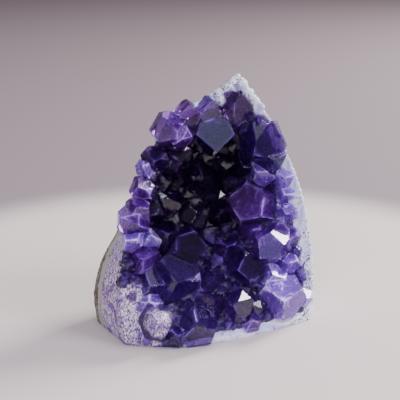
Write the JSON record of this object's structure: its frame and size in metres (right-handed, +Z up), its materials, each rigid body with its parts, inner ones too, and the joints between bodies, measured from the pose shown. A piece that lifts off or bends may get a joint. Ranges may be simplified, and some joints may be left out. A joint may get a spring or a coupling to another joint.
{
  "type": "amethyst cluster",
  "caption": "Amethyst cluster: a wedge of geode wall whose hollow front is covered in purple quartz points, with a banded agate rind, dark rock behind, and a flat cut base.",
  "frame": {"origin": "middle of the whole object's plan, on the cut base that it stands on", "axes": "+Z up out of the cut base towards the peak, -Y towards the open front that the crystals cover, +X to the right of someone who faces the crystals"},
  "size_m": [0.0638, 0.0418, 0.0735],
  "materials": {
    "amethyst": "gloss",
    "milky_quartz": "satin",
    "agate": "satin",
    "basalt": "matte"
  },
  "bodies": {
    "root": {"agate_rind": "agate", "basalt_skin": "basalt", "crystal_brow_big": "amethyst", "crystal_brow_dark": "amethyst", "crystal_cheek_left_dark": "amethyst", "crystal_cheek_right_big": "amethyst", "crystal_cheek_right_upper": "amethyst", "crystal_crown": "amethyst", "crystal_foot_dark": "amethyst", "crystal_foot_middle": "amethyst", "crystal_foot_point": "amethyst", "crystal_foot_right_big": "amethyst", "crystal_ground_stub": "amethyst", "crystal_hollow_deep": "amethyst", "crystal_hollow_floor": "amethyst", "crystal_hollow_high": "amethyst", "crystal_hollow_high_right": "amethyst", "crystal_hollow_left_deep": "amethyst", "crystal_hollow_left_high": "amethyst", "crystal_hollow_left_point": "amethyst", "crystal_hollow_low": "amethyst", "crystal_hollow_middle": "amethyst", "crystal_hollow_right_low": "amethyst", "crystal_hollow_top": "amethyst", "crystal_hollow_top_left": "amethyst", "crystal_lap_left_big": "amethyst", "crystal_lap_right": "amethyst", "crystal_lap_right_dark": "amethyst", "crystal_lap_right_inner": "amethyst", "crystal_rim_left_crest": "amethyst", "crystal_rim_left_high": "amethyst", "crystal_rim_left_lower": "amethyst", "crystal_rim_left_point": "amethyst", "crystal_rim_left_tall": "amethyst", "crystal_rim_left_upper": "amethyst", "crystal_rim_right_foot": "amethyst", "crystal_rim_right_high": "amethyst", "crystal_rim_right_middle": "amethyst", "crystal_rim_right_upper": "amethyst", "crystal_shelf_left": "amethyst", "crystal_side_left_small": "amethyst", "crystal_temple_left": "amethyst", "crystal_temple_right": "amethyst", "quartz_bed": "milky_quartz"}
  },
  "joints": []
}
